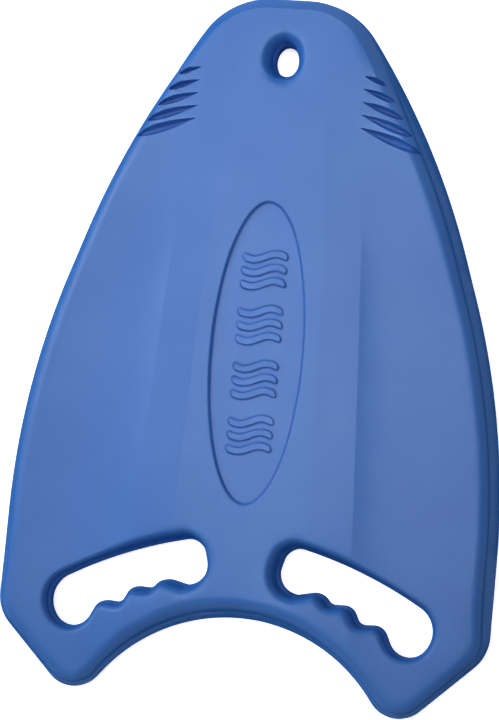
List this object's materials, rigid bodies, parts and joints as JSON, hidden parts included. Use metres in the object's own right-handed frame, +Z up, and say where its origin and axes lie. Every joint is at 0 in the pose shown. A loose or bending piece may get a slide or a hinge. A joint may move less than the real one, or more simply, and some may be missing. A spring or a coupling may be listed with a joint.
{
  "type": "kickboard float",
  "caption": "Arrow-shaped moulded foam kickboard with two hand slots, hanging hole, finger grips and a recessed oval emblem.",
  "frame": {"origin": "on the centreline at mid-length, on the plane the underside rests on", "axes": "+Z up, out of the deck; +Y towards the rounded nose; +X to the right as seen from above the deck"},
  "size_m": [0.311, 0.44, 0.0342],
  "materials": {
    "deck_foam": "satin moulded closed-cell foam, mid blue",
    "underside_foam": "satin moulded closed-cell foam, mid blue",
    "core_foam": "lighter closed-cell foam, not visible from outside"
  },
  "bodies": {
    "root": {"deck_shell": "deck_foam", "underside_shell": "underside_foam", "foam_core": "core_foam"}
  },
  "joints": []
}
